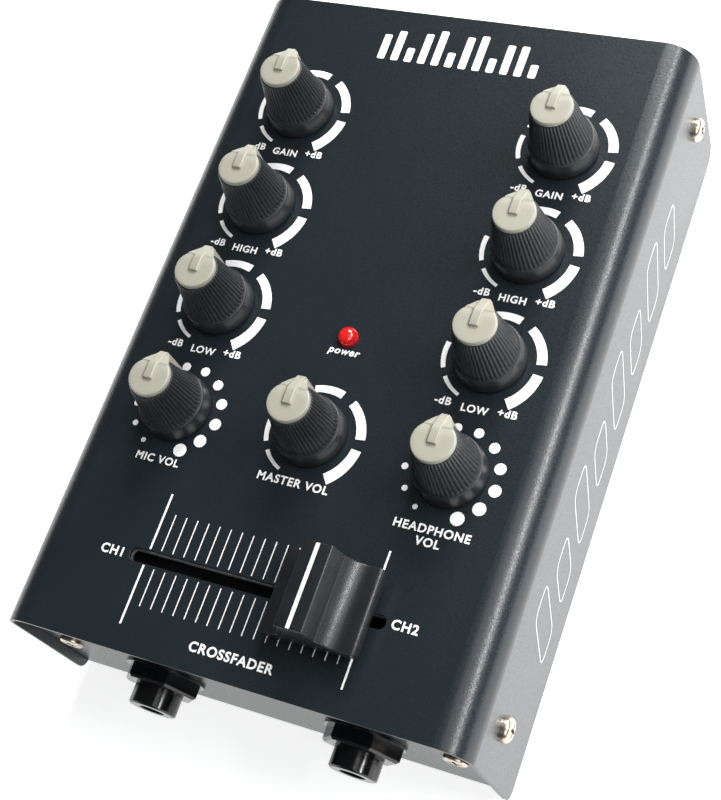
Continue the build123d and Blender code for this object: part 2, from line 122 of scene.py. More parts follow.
def complete(material, tree, **sockets):
    """Ends a material in one Principled shader; names are written with _ for each blank."""
    shader = add(tree, "ShaderNodeBsdfPrincipled", {k.replace("_", " "): v for k, v in sockets.items()})
    add(tree, "ShaderNodeOutputMaterial", {"Surface": shader.outputs[0]})
    return material


def per(size):
    """Scale of a texture whose features are to be this many millimetres across."""
    return 1 / (size * MM)


def per_wave(size):
    """Scale of a wave texture whose light and dark bands are each to be this many millimetres wide.

    At a scale of 1 the texture takes the sine of 20 times the place, so half a wave is pi / 20 wide.
    """
    return per(size) / 20 * math.pi


# ---- finishes ----
def powder_coated_steel():
    """Powder coat, sprayed dry and baked over folded steel."""
    # Near black with a cold tinge. Its fine grit of about 0.4 mm breaks highlights into specks,
    # most of all along the bends. The sheet itself isn't quite flat, which clouds broad reflections.
    look = bpy.context.scene.mixer_colours
    material, tree, place = new_finish("powder_coated_steel")
    grit = add(tree, "ShaderNodeTexNoise", {
        "Vector": place, "Scale": per(0.42), "Detail": 2.0, "Roughness": 0.6})
    sheet = add(tree, "ShaderNodeTexNoise", {"Vector": place, "Scale": per(34), "Detail": 1.0})
    drift = add(tree, "ShaderNodeTexNoise", {"Vector": place, "Scale": per(28), "Detail": 3.0})
    tone = add(tree, "ShaderNodeMix", {0: drift.outputs[0], 6: look.powder, 7: look.powder_light},
               data_type="RGBA")
    rough = add(tree, "ShaderNodeMapRange", {"Value": grit.outputs[0], 1: 0.3, 2: 0.7, 3: 0.24, 4: 0.36})
    edge = add(tree, "ShaderNodeBevel", {"Radius": 0.25 * MM}, samples=4)
    flat = add(tree, "ShaderNodeBump", {
        "Height": sheet.outputs[0], "Strength": 0.6, "Distance": 0.3 * MM, "Normal": edge.outputs[0]})
    bump = add(tree, "ShaderNodeBump", {
        "Height": grit.outputs[0], "Strength": 0.6, "Distance": 0.05 * MM, "Normal": flat.outputs[0]})
    return complete(material, tree, Base_Color=tone.outputs[2], Roughness=rough.outputs[0],
                    Normal=bump.outputs[0], IOR=1.52)


def zinc_plated_steel():
    """Steel, rolled and plated with bright zinc."""
    # A cool grey metal with faint rolling lines and cloudy patches.
    material, tree, place = new_finish("zinc_plated_steel")
    stretch = add(tree, "ShaderNodeMapping", {"Vector": place, "Scale": (0.06, 1.0, 1.0)})
    lines = add(tree, "ShaderNodeTexNoise", {"Vector": stretch.outputs[0], "Scale": per(0.5), "Detail": 4.0})
    cloud = add(tree, "ShaderNodeTexNoise", {"Vector": place, "Scale": per(5), "Detail": 4.0})
    tone = add(tree, "ShaderNodeMix", {0: cloud.outputs[0], 6: srgb("#b4b8bd"), 7: srgb("#d4d3cc")},
               data_type="RGBA")
    rough = add(tree, "ShaderNodeMapRange", {"Value": lines.outputs[0], 3: 0.24, 4: 0.46})
    return complete(material, tree, Base_Color=tone.outputs[2], Metallic=1.0, Roughness=rough.outputs[0])


def nickel_plated_steel():
    """Cold-headed steel with a satin nickel plate."""
    # Warm silver. Small dents from tumbling in the plating barrel blur the reflections.
    material, tree, place = new_finish("nickel_plated_steel")
    dents = add(tree, "ShaderNodeTexNoise", {"Vector": place, "Scale": per(0.7), "Detail": 3.0})
    cloud = add(tree, "ShaderNodeTexNoise", {"Vector": place, "Scale": per(2), "Detail": 2.0})
    tone = add(tree, "ShaderNodeMix", {0: cloud.outputs[0], 6: srgb("#b9a893"), 7: srgb("#dcd3c5")},
               data_type="RGBA")
    rough = add(tree, "ShaderNodeMapRange", {"Value": dents.outputs[0], 3: 0.16, 4: 0.4})
    edge = add(tree, "ShaderNodeBevel", {"Radius": 0.12 * MM}, samples=4)
    bump = add(tree, "ShaderNodeBump", {
        "Height": dents.outputs[0], "Strength": 0.35, "Distance": 0.04 * MM, "Normal": edge.outputs[0]})
    return complete(material, tree, Base_Color=tone.outputs[2], Metallic=1.0, Roughness=rough.outputs[0],
                    Normal=bump.outputs[0])


def moulded_rubber():
    """Black rubber from a sanded mould."""
    # Dull and slightly grey where dust and wear have scuffed it.
    material, tree, place = new_finish("moulded_rubber")
    grain = add(tree, "ShaderNodeTexNoise", {"Vector": place, "Scale": per(0.6), "Detail": 3.0})
    dust = add(tree, "ShaderNodeTexNoise", {"Vector": place, "Scale": per(4), "Detail": 4.0})
    tone = add(tree, "ShaderNodeMix", {0: dust.outputs[0], 6: srgb("#17171a"), 7: srgb("#33322f")},
               data_type="RGBA")
    bump = add(tree, "ShaderNodeBump", {"Height": grain.outputs[0], "Strength": 0.5, "Distance": 0.05 * MM})
    return complete(material, tree, Base_Color=tone.outputs[2], Roughness=0.82, Normal=bump.outputs[0])


def solder_masked_board():
    """Glass-fibre laminate under green solder mask."""
    # Copper tracks show through the glossy mask as a lighter green, in runs about 1 mm apart.
    material, tree, place = new_finish("solder_masked_board")
    tracks = add(tree, "ShaderNodeTexBrick", {
        "Vector": place, "Scale": per(10), "Color1": srgb("#0f4a2a"), "Color2": srgb("#13592f"),
        "Mortar": srgb("#3b8f52"), "Mortar Size": 0.012, "Brick Width": 0.45, "Row Height": 0.1})
    weave = add(tree, "ShaderNodeTexNoise", {"Vector": place, "Scale": per(0.8), "Detail": 2.0})
    bump = add(tree, "ShaderNodeBump", {"Height": weave.outputs[0], "Strength": 0.15, "Distance": 0.03 * MM})
    return complete(material, tree, Base_Color=tracks.outputs[0], Roughness=0.28, IOR=1.55,
                    Normal=bump.outputs[0])


def moulded_plastic(name, dark, light, rough_low, rough_high, grain, strength=0.3, edge_radius=0.12,
                    **sockets):
    """A moulded plastic: its grain comes from the mould's surface, and its colour drifts a little."""
    material, tree, place = new_finish(name)
    fine = add(tree, "ShaderNodeTexNoise", {"Vector": place, "Scale": per(grain), "Detail": 2.0})
    drift = add(tree, "ShaderNodeTexNoise", {"Vector": place, "Scale": per(6), "Detail": 3.0})
    tone = add(tree, "ShaderNodeMix", {0: drift.outputs[0], 6: dark, 7: light}, data_type="RGBA")
    rough = add(tree, "ShaderNodeMapRange", {
        "Value": fine.outputs[0], 1: 0.3, 2: 0.7, 3: rough_low, 4: rough_high})
    edge = add(tree, "ShaderNodeBevel", {"Radius": edge_radius * MM}, samples=4)
    bump = add(tree, "ShaderNodeBump", {
        "Height": fine.outputs[0], "Strength": strength, "Distance": 0.03 * MM, "Normal": edge.outputs[0]})
    return complete(material, tree, Base_Color=tone.outputs[2], Roughness=rough.outputs[0],
                    Normal=bump.outputs[0], **sockets)


def knob_abs():
    """Black ABS from a polished mould, dulled by handling."""
    # Satin black: soft broad highlights on the collar and a thin line on each rib.
    look = bpy.context.scene.mixer_colours
    return moulded_plastic("knob_abs", look.knob, srgb("#25282c"), 0.32, 0.46, 0.35, IOR=1.53)


def cream_abs():
    """Warm grey ABS of the pointer caps."""
    # Light passes a little way in, which softens its edges.
    look = bpy.context.scene.mixer_colours
    return moulded_plastic("cream_abs", look.cap, srgb("#a3a194"), 0.36, 0.5, 0.5, IOR=1.53,
                           Subsurface_Weight=0.12, Subsurface_Scale=0.4 * MM)


def fader_abs():
    """Glossy black ABS with a fine spark-eroded grain."""
    # The grain scatters each highlight into a band of bright specks.
    look = bpy.context.scene.mixer_colours
    return moulded_plastic("fader_abs", look.fader, srgb("#24272a"), 0.26, 0.4, 0.3, strength=1.0, IOR=1.54)


def jack_nylon():
    """Glossy black nylon of the sockets, their nuts and washers."""
    # Deep black with a sharp reflection along each round.
    return moulded_plastic("jack_nylon", srgb("#08090a"), srgb("#111214"), 0.12, 0.22, 0.8, strength=0.2,
                           edge_radius=0.2, IOR=1.53)


def black_polyamide():
    """Plain black moulding of the inner parts."""
    # Matt, from a mould that was left as it was machined.
    return moulded_plastic("black_polyamide", srgb("#141416"), srgb("#1f1f21"), 0.45, 0.6, 0.5)


def red_polyamide():
    """Red insert of a phono socket."""
    # A dense, slightly waxy red.
    return moulded_plastic("red_polyamide", srgb("#a31515"), srgb("#c02220"), 0.32, 0.45, 0.5)


def white_polyamide():
    """White insert of a phono socket."""
    # A milky white that yellows a little in places.
    return moulded_plastic("white_polyamide", srgb("#e6e3da"), srgb("#d9d5c8"), 0.32, 0.45, 0.5)


def screen_ink():
    """Two-part white ink, screen-printed on the powder coat."""
    # Opaque white with the coat's grit showing faintly through it.
    return moulded_plastic("screen_ink", srgb("#fafaf9"), srgb("#fefefd"), 0.5, 0.62, 0.42, strength=0.15,
                           edge_radius=0.02)


def carbon_track():
    """Phenolic strip with a printed carbon track."""
    # Soft black with a dull sheen, wiped along its length.
    return moulded_plastic("carbon_track", srgb("#0b0b0c"), srgb("#131314"), 0.5, 0.65, 0.6)


def ribbon_vinyl():
    """Grey vinyl of a flat cable."""
    # Round cores side by side give it ribs, drawn 2 mm apart. Its grey is painted darker in the grooves
    # between the cores, as painted shade, and lighter on the crests, as painted highlight.
    material, tree, place = new_finish("ribbon_vinyl")
    ribs = add(tree, "ShaderNodeTexWave", {"Vector": place, "Scale": per_wave(1), "Distortion": 0.0},
               wave_profile="SIN", bands_direction="X")
    bump = add(tree, "ShaderNodeBump", {"Height": ribs.outputs[1], "Strength": 0.8, "Distance": 0.3 * MM})
    # painted shade in the grooves and painted highlight on the crests, following the ribs
    tone = add(tree, "ShaderNodeMix", {0: ribs.outputs[1], 6: srgb("#6d6e70"), 7: srgb("#a0a1a2")},
               data_type="RGBA")
    return complete(material, tree, Base_Color=tone.outputs[2], Roughness=0.45, Normal=bump.outputs[0])


def turned_aluminium():
    """Aluminium shaft, turned on a lathe."""
    # Rings across the shaft, 0.5 mm apart: real ones are finer, and would be too fine to show.
    material, tree, place = new_finish("turned_aluminium")
    lathe = add(tree, "ShaderNodeTexWave", {"Vector": place, "Scale": per_wave(0.25), "Distortion": 0.4},
                bands_direction="Z")
    tone = add(tree, "ShaderNodeMix", {0: lathe.outputs[1], 6: srgb("#bfc1c4"), 7: srgb("#d9dadb")},
               data_type="RGBA")
    bump = add(tree, "ShaderNodeBump", {"Height": lathe.outputs[1], "Strength": 0.3, "Distance": 0.02 * MM})
    return complete(material, tree, Base_Color=tone.outputs[2], Metallic=1.0, Roughness=0.3,
                    Normal=bump.outputs[0])


def bright_nickel():
    """Bright nickel on the phono shells and the power pin."""
    # A warm mirror with faint draw lines along the shell.
    material, tree, place = new_finish("bright_nickel")
    stretch = add(tree, "ShaderNodeMapping", {"Vector": place, "Scale": (1.0, 0.08, 1.0)})
    lines = add(tree, "ShaderNodeTexNoise", {"Vector": stretch.outputs[0], "Scale": per(0.4), "Detail": 3.0})
    tone = add(tree, "ShaderNodeMix", {0: lines.outputs[0], 6: srgb("#cbc5b9"), 7: srgb("#e2ded6")},
               data_type="RGBA")
    rough = add(tree, "ShaderNodeMapRange", {"Value": lines.outputs[0], 3: 0.08, 4: 0.28})
    return complete(material, tree, Base_Color=tone.outputs[2], Metallic=1.0, Roughness=rough.outputs[0])


def red_epoxy_lens():
    """Red epoxy lens with its light on."""
    # Brightest over the chip in the middle and deep red at the rim, under a glassy skin.
    look = bpy.context.scene.mixer_colours
    material, tree, place = new_finish("red_epoxy_lens")
    middle = centre("power_light")
    chip = (middle.x, middle.y, TOP + LENS_CHIP * MM)
    near = add(tree, "ShaderNodeVectorMath", {0: place, 1: chip}, operation="DISTANCE")
    glow = add(tree, "ShaderNodeMapRange", {
        "Value": near.outputs["Value"], 1: LENS_GLOW[0] * MM, 2: LENS_GLOW[1] * MM, 3: 1.0, 4: 0.0})
    tone = add(tree, "ShaderNodeMix", {0: glow.outputs[0], 6: srgb("#6d0206"), 7: look.light},
               data_type="RGBA")
    return complete(material, tree, Base_Color=srgb("#8e0a0c"), Roughness=0.08, IOR=1.54, Coat_Weight=0.4,
                    Emission_Color=tone.outputs[2], Emission_Strength=1.0)


def studio_paper():
    """White paper roll that the mixer stands on."""
    # Matt and even, with a soft cloudiness in its pulp.
    material, tree, place = new_finish("studio_paper")
    pulp = add(tree, "ShaderNodeTexNoise", {"Vector": place, "Scale": per(90), "Detail": 3.0})
    tone = add(tree, "ShaderNodeMix", {0: pulp.outputs[0], 6: srgb("#f2f2f2"), 7: srgb("#f6f6f6")},
               data_type="RGBA")
    return complete(material, tree, Base_Color=tone.outputs[2], Roughness=0.9,
                    Emission_Color=srgb("#ffffff"), Emission_Strength=0.66)


def dress(finish, *objects):
    """Gives objects a finish, made once and shared."""
    material = bpy.data.materials.get(finish.__name__) or finish()
    for piece in objects:
        if not piece.material_slots:
            piece.data.materials.append(material)
        for held in piece.material_slots:
            held.material = material


def dress_nodes(finish, *names):
    """Gives carried-over CAD nodes a finish."""
    dress(finish, *(frame["nodes"][name] for name in names))


# ---- shapes ----
def rings(points, closed_ends=True):
    """Faces between rings of points.

    Points is (rings, points round, 3). Each point is joined to the next one round and to the same one
    on the next ring. The first and the last ring are closed with one face each.
    """
    rows, round_ = points.shape[:2]
    start = np.arange(rows - 1)[:, None] * round_
    here = np.arange(round_)[None, :]
    ahead = (here + 1) % round_
    faces = np.stack([start + here, start + ahead, start + round_ + ahead, start + round_ + here], -1)
    faces = faces.reshape(-1, 4).tolist()
    if closed_ends:
        faces.append(list(range(round_))[::-1])
        faces.append(list(range((rows - 1) * round_, rows * round_)))
    return points.reshape(-1, 3), faces


def joined(shapes):
    """Several (points, faces) pairs as one."""
    starts = np.cumsum([0] + [len(points) for points, _ in shapes])
    faces = [[v + start for v in face] for start, (_, each) in zip(starts.tolist(), shapes) for face in each]
    return np.vstack([points for points, _ in shapes]), faces


def piece_from(name, shape, body, finish, stands_for=(), sharp=35.0):
    """A finished piece from points in millimetres, in the frame, and their faces."""
    points, faces = shape
    mesh = bpy.data.meshes.new(name)
    mesh.from_pydata((points * MM).tolist(), [], faces)
    mesh.validate()
    mesh.shade_smooth()
    mesh.set_sharp_from_angle(angle=math.radians(sharp))
    piece = bpy.data.objects.new(name, mesh)
    bpy.context.scene.collection.objects.link(piece)
    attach(piece, body)
    if stands_for:
        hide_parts(*stands_for)
    dress(finish, piece)
    return piece


def softened(corners, radii, steps=5):
    """A closed outline with softened corners.

    Each corner C with radius r becomes the curve (1-t)^2 A + 2t(1-t) C + t^2 B, where A and B lie on
    the two sides at r from C. A radius of 0 keeps the corner.
    """
    corners, radii = np.asarray(corners, float), np.asarray(radii, float)
    t = np.linspace(0, 1, steps)[None, :, None]
    before, after = np.roll(corners, 1, 0) - corners, np.roll(corners, -1, 0) - corners
    before /= np.linalg.norm(before, axis=1)[:, None]
    after /= np.linalg.norm(after, axis=1)[:, None]
    a, b = (corners + before * radii[:, None])[:, None], (corners + after * radii[:, None])[:, None]
    curve = (1 - t) ** 2 * a + 2 * t * (1 - t) * corners[:, None] + t ** 2 * b
    kept = np.where(radii[:, None] > 0, True, np.arange(steps)[None] == 0)
    return curve[kept]


def turned(profile, count, centre_xy, grooves=None):
    """A profile of (radius, height) rows carried round an upright axis.

    Point (i, a) is at radius r_i - groove(a) * share_i and height z_i, a from 0 to a full turn.
    Grooves is (share of each row, depth at each angle).
    """
    angle = np.arange(count) / count * 2 * math.pi
    radius = np.repeat(profile[:, :1], count, 1)
    if grooves is not None:
        share, depth = grooves
        radius = radius - share[:, None] * depth[None, :]
    x = centre_xy[0] + radius * np.cos(angle)
    y = centre_xy[1] + radius * np.sin(angle)
    z = np.repeat(profile[:, 1:2], count, 1)
    return np.stack([x, y, z], -1)


def slab(outline, low, high):
    """A flat shape with a thickness: the outline at two heights, joined round its edge."""
    flat = np.asarray(outline, float)
    both = [np.column_stack([flat, np.full(len(flat), z)]) for z in (low, high)]
    return rings(np.stack(both))


def arc_band(centre_xy, inner, outer, start, end):
    """An arc whose outer radius goes from one value to another; degrees clockwise from +Y."""
    angle = np.radians(np.linspace(start, end, max(6, int(abs(end - start) / ARC_STEP))))
    wide = np.linspace(outer[0], outer[1], len(angle))
    far = np.column_stack([wide * np.sin(angle), wide * np.cos(angle)])
    near = np.column_stack([inner * np.sin(angle), inner * np.cos(angle)])[::-1]
    return np.vstack([far, near])[::-1] + np.asarray(centre_xy)


def disc(centre_xy, radius, count=28):
    """A round outline."""
    angle = np.arange(count) / count * 2 * math.pi
    return np.column_stack([np.cos(angle), np.sin(angle)]) * radius + np.asarray(centre_xy)


def bar(x, y):
    """A rectangular outline from two (low, high) pairs."""
    return np.array([(x[0], y[0]), (x[1], y[0]), (x[1], y[1]), (x[0], y[1])], float)


def normals(outline):
    """Normals to the left of a closed outline's direction: inwards where it runs anticlockwise."""
    ahead = np.roll(outline, -1, 0) - np.roll(outline, 1, 0)
    ahead /= np.linalg.norm(ahead, axis=1)[:, None]
    return np.column_stack([-ahead[:, 1], ahead[:, 0]])


# ---- the print's measures, in millimetres ----
INK = 0.03  # how far the ink stands off the coat
SCALED = ("ch1_gain", "ch1_high", "ch1_low", "master_volume", "ch2_low", "ch2_high", "ch2_gain")
SCALE_ARCS = ((-155, -124), (-112, -78), (-66, -30), (-17, 20), (36, 84), (97, 145))  # degrees
ARC_STEP = 3  # degrees from one point of an arc to the next
ARC_INNER = 10.9
ARC_WIDTH = (0.8, 2.9)  # at the first arc's start and at the last one's end
DOTTED = ("mic_volume", "headphone_volume")
DOT_COUNT = 12
DOT_RING = 11.3
DOT_START = -150.0  # degrees
DOT_STEP = 27.7
DOT_RADII = (0.65, 1.7)

# the crossfader's scale: spans from the cover's front edge, on both sides of the slot
FADER_TICKS = 18
FADER_END = 28.5  # end lines, from the middle
END_LINE = (0.25, ((6.2, 20.9), (25.0, 39.2)))  # half width, spans
TICK_LINE = (0.12, ((11.3, 20.5), (25.2, 34.5)))

# labels: offsets from a control's centre, and the height of a capital
# None stands for the control's own name
TONE_LABELS = (("-dB", (-7.9, -12.3)), (None, (0.1, -12.9)), ("+dB", (8.1, -12.3)))
TONE_CAPITAL = 1.95
VOLUME_LABELS = (
    ("mic_volume", "MIC VOL", (0, -13.6), 2.0), ("master_volume", "MASTER VOL", (-0.3, -12.7), 2.1),
    ("headphone_volume", "HEADPHONE", (0, -14.2), 2.1), ("headphone_volume", "VOL", (0, -17.2), 2.1),
)
# text, place from the middle and the cover's front edge, height of a capital, slant, stretch
PLAIN_LABELS = (
    ("power", (0, 84.4), 1.9, 0.2, 1.05), ("CH1", (-37.7, 22.6), 2.3, 0, 1), ("CH2", (37.7, 23.4), 2.3, 0, 1),
    ("CROSSFADER", (0.9, 6.0), 2.35, 0, 1),
)
LETTER_WEIGHT = 0.028  # how far a letter's outline is moved out, in the font's own units
LETTER_SPACING = 1.14
FONT_CAPITAL = 0.729  # height of a capital, in the font's own units

# the row of bars at the back of the cover
MOTIF_BARS = 12
MOTIF_START = -21.5
MOTIF_STEP = 3.8
MOTIF_WIDTH = 2.1
MOTIF_FOOT = 167.5  # from the cover's front edge
MOTIF_TALL = (3.4, 8.2)  # shortest bar, and the most that is added to it
MOTIF_WAVE = (0.9, 1.05)  # radians: at the first bar, and from one bar to the next
MOTIF_HUMP = (0.62, 0.38)  # share of the added height at the row's ends, and what the middle has more
MOTIF_ROUND = 0.5

# the outlines along the channel 2 side
BAND_COUNT = 8
BAND_START = 31.0  # from the cover's front edge
BAND_STEP = 15.4
BAND_FOOT = 13.0  # above the surface that the feet stand on
BAND_SIZE = (9.5, 18.5)
BAND_SHORTER = 4.5  # every other outline is this much lower
BAND_ROUND = 3.2
BAND_SLANT = 0.34
BAND_LINE = 0.28


# ---- the fader cap's measures, in millimetres above the cover and from the lever ----
CAP_TOP = 15.1  # the ridge's flat top
CAP_RIDGE = 3.65  # half the ridge's width
CAP_FOOT = (4.25, 9.6)  # where a flank ends and its wing begins
CAP_SCOOP = 2.4  # how quickly the wing flattens out
CAP_WING = 5.7  # height of a wing's level end
CAP_LEVEL = 3.0  # length of that end
CAP_HALF = 12.5  # half the cap's length along its travel
CAP_BOTTOM = 1.9
CAP_UNDERCUT = 0.6  # the end faces lean in this much towards the bottom
CAP_LEAN = 6.3  # degrees
CAP_PIVOT = 6.0  # height that the cap leans about
CAP_SOFT = (0.4, 0.2, 1.3, 0.3)  # softening of the ridge, the flank's foot, the wing's end, the bottom
LINE_ROUND = 0.2  # corners of the white line, and its distance from the cap's ends
LINE_SUNK = 0.1

# ---- the pointer, from its heel on the disc, over a bend, to its foot on the collar ----
# distance from the centre, drop below the crest, half width, and the distance and drop of its root
POINTER_SPINE = (
    (-0.82, 0.35, 1.04, -0.82, 1.3), (-0.76, 0.08, 1.14, -0.76, 1.3), (-0.55, 0.00, 1.18, -0.60, 1.3),
    (2.55, 0.00, 1.18, 2.30, 1.5), (3.05, 0.06, 1.18, 2.70, 1.7), (3.60, 0.28, 1.18, 3.10, 2.0),
    (5.40, 1.36, 1.16, 4.60, 2.9), (6.85, 2.30, 1.13, 5.60, 3.8), (7.40, 2.85, 1.08, 5.90, 4.6),
    (7.70, 3.60, 1.02, 6.20, 5.4), (7.95, 7.40, 0.74, 6.50, 8.6), (8.15, 10.9, 0.42, 7.00, 11.6),
    (8.32, 14.3, 0.12, 7.50, 14.3),
)
# the web beside it: distance, half width, drop of the web's edge and beside the pointer
POINTER_WEB = (
    (2.30, 3.90, 1.50, 1.00), (3.90, 3.38, 1.05, 0.95), (5.20, 2.62, 1.95, 1.75),
    (6.40, 1.86, 2.80, 2.50), (7.15, 1.34, 3.45, 3.10), (7.50, 1.08, 4.00, 3.60),
)
WEB_THICK = 0.7
WEB_SHOULDER = 0.4  # where the web starts to slope, as a share of its half width
POINTER_BEVEL = 0.28
POINTER_ROOT = 1.1  # the root is this much wider than the pointer
CAP_FALL = 1.15  # how far the disc falls away at its rim, on the pointer's side
FALL_START = 1.2  # where it starts to, from the centre
DISC_ROWS = (0.05, 0.3, 0.55, 0.8)  # rings on the disc's face, as shares of its radius
DISC_POINTS = 96
DISC_LIFT = 0.02  # gap between the disc and the knob's body

# ---- the knob's measures, in millimetres ----
COLLAR_WALL = 1.8
COLLAR_ROOF = 0.3  # the cavity ends this far below the collar's top
BORE_RADIUS = 3.02
BORE_ROOF = 3.6  # the bore ends this far below the body's top
COLLAR_SEAT = (0.08, 0.02)  # the grip's foot on the collar: outwards and up
FLUTE_SPAN = (0.04, 0.97)  # part of the grip that is fluted
FLUTE_ROWS = 12
FLUTE_POINTS = 10  # points round one flute
FLUTE_SHARPNESS = 0.8  # power of the wave across a flute
FLUTE_FADE = 0.35  # share of the flutes' depth where they begin, on the grip's upper edge
LIP_SOFT = 0.6  # softening of the collar's lower edge, as a share of the other edges'

# ---- the power light's measures, in millimetres ----
LENS_RADIUS = 2.5
LENS_FOOT = (1.2, 1.0, 0.95)  # above its base: the straight part's two lowest rings and the flange's top
LENS_CHIP = 1.8  # height of the glowing chip above the cover
LENS_GLOW = (0.3, 2.6)  # distance from it where the glow starts to fade, and where it ends


def place_of(name):
    """A control's centre in millimetres."""
    middle = centre("pot_shaft_" + name)
    return np.array([middle.x, middle.y]) / MM


def text_shape(text, size, slant, stretch):
    """A word as flat faces that look up, centred on the origin, its capitals this many millimetres high."""
    curve = bpy.data.curves.new("word", "FONT")
    curve.body, curve.shear, curve.align_x = text, slant, "CENTER"
    curve.offset, curve.space_character = LETTER_WEIGHT, LETTER_SPACING
    curve.resolution_u = 5
    holder = bpy.data.objects.new("word", curve)
    mesh = bpy.data.meshes.new_from_object(holder)
    points = np.zeros(len(mesh.vertices) * 3)
    mesh.vertices.foreach_get("co", points)
    points = points.reshape(-1, 3)
    faces = [list(face.vertices) for face in mesh.polygons]
    bpy.data.objects.remove(holder)
    bpy.data.curves.remove(curve)
    bpy.data.meshes.remove(mesh)
    points[:, 0] *= stretch
    points[:, 1] -= FONT_CAPITAL / 2
    return points * size / FONT_CAPITAL, faces


def words():
    """Every label: text, centre x, centre y, height of a capital, slant, stretch."""
    rows = []
    for side in ("ch1", "ch2"):
        for band in ("gain", "high", "low"):
            middle = place_of(f"{side}_{band}")
            for text, offset in TONE_LABELS:
                rows.append((text or band.upper(), *(middle + offset), TONE_CAPITAL, 0, 1))
    for name, text, offset, capital in VOLUME_LABELS:
        rows.append((text, *(place_of(name) + offset), capital, 0, 1))
    for text, (x, y), capital, slant, stretch in PLAIN_LABELS:
        rows.append((text, x, FRONT / MM + y, capital, slant, stretch))
    return rows


# ---- settings ----
class MixerSizes(bpy.types.PropertyGroup):
    """Sizes of the pieces that are made here."""

    flutes: IntProperty(name="Flutes", description="Ribs round a knob's grip", default=44, min=12, max=80)
    flute_depth: FloatProperty(
        name="Flute depth", description="Depth of the grooves between the ribs",
        default=0.3 * MM, min=0.0, max=MM, subtype="DISTANCE", unit="LENGTH")
    rim_radius: FloatProperty(
        name="Collar rim", description="Radius of the collar's upper edge",
        default=8.35 * MM, subtype="DISTANCE", unit="LENGTH")
    collar_height: FloatProperty(
        name="Collar height", description="Top of the collar above the cover",
        default=5.2 * MM, subtype="DISTANCE", unit="LENGTH")
    grip_radius: FloatProperty(
        name="Grip foot", description="Radius of the grip where it meets the collar",
        default=7.75 * MM, subtype="DISTANCE", unit="LENGTH")
    grip_top_radius: FloatProperty(
        name="Grip top", description="Radius of the grip's upper edge",
        default=5.6 * MM, subtype="DISTANCE", unit="LENGTH")
    cap_radius: FloatProperty(
        name="Cap radius", description="Radius of the pointer cap's disc",
        default=5.15 * MM, subtype="DISTANCE", unit="LENGTH")
    cap_thickness: FloatProperty(
        name="Cap thickness", description="Height of the disc above the knob's body",
        default=1.3 * MM, subtype="DISTANCE", unit="LENGTH")
    line_width: FloatProperty(
        name="Fader line", description="Width of the white line on the fader's cap",
        default=1.0 * MM, subtype="DISTANCE", unit="LENGTH")
    corner: FloatProperty(
        name="Corner", description="Softening of moulded edges",
        default=0.35 * MM, subtype="DISTANCE", unit="LENGTH")


def colour(name, description, code):
    """A colour setting whose default is an sRGB hex code."""
    return FloatVectorProperty(name=name, description=description, default=srgb(code), size=3,
                               min=0.0, max=1.0, subtype="COLOR")


class MixerColours(bpy.types.PropertyGroup):
    """Colours that a maker would choose."""

    powder: colour("Powder coat", "Main colour of the steel case", "#171e22")
    powder_light: colour("Powder coat, light", "Where the coat is a little thinner", "#1d2529")
    knob: colour("Knobs", "Black of the knobs", "#16181b")
    cap: colour("Pointer caps", "Warm grey of the caps", "#9e9c8e")
    fader: colour("Fader cap", "Black of the crossfader's cap", "#101214")
    light: colour("Power light", "Glow of the power light", "#ff2a22")


# ---- pieces ----
class MIXER_OT_case(bpy.types.Operator):
    """Finish the folded case, its screws, feet and brackets"""

    bl_idname = "mixer.case"
    bl_label = "Case"

    def execute(self, context):
        dress_nodes(powder_coated_steel, "top_cover", "base_tray", "front_panel")
        dress_nodes(nickel_plated_steel, "side_screws", "panel_screws", "board_screws", "pot_nuts",
                    "power_light_legs")
        dress_nodes(moulded_rubber, "rubber_feet")
        dress_nodes(zinc_plated_steel, "corner_brackets", "board_standoffs")
        return {"FINISHED"}


class MIXER_OT_inside(bpy.types.Operator):
    """Finish the boards, potentiometers, fader and cable inside the case"""

    bl_idname = "mixer.inside"
    bl_label = "Inside"

    def execute(self, context):
        dress_nodes(solder_masked_board, "control_board", "rear_board")
        dress_nodes(carbon_track, "fader_track")
        dress_nodes(zinc_plated_steel, "potentiometers", "fader_frame", "fader_rails", "fader_lever")
        dress_nodes(black_polyamide, "fader_carriage", "ribbon_headers", "phono_blocks")
        dress_nodes(ribbon_vinyl, "ribbon_cable")
        dress_nodes(turned_aluminium, *("pot_shaft_" + name for name in CONTROLS))
        return {"FINISHED"}


class MIXER_OT_sockets(bpy.types.Operator):
    """Finish the front and rear sockets"""

    bl_idname = "mixer.sockets"
    bl_label = "Sockets"

    def execute(self, context):
        dress_nodes(jack_nylon, "mic_jack", "headphone_jack", "jack_nuts", "jack_washers")
        dress_nodes(bright_nickel, "phono_shells", "power_pin")
        dress_nodes(red_polyamide, "phono_inserts_red")
        dress_nodes(white_polyamide, "phono_inserts_white")
        dress_nodes(black_polyamide, "power_inlet")
        return {"FINISHED"}


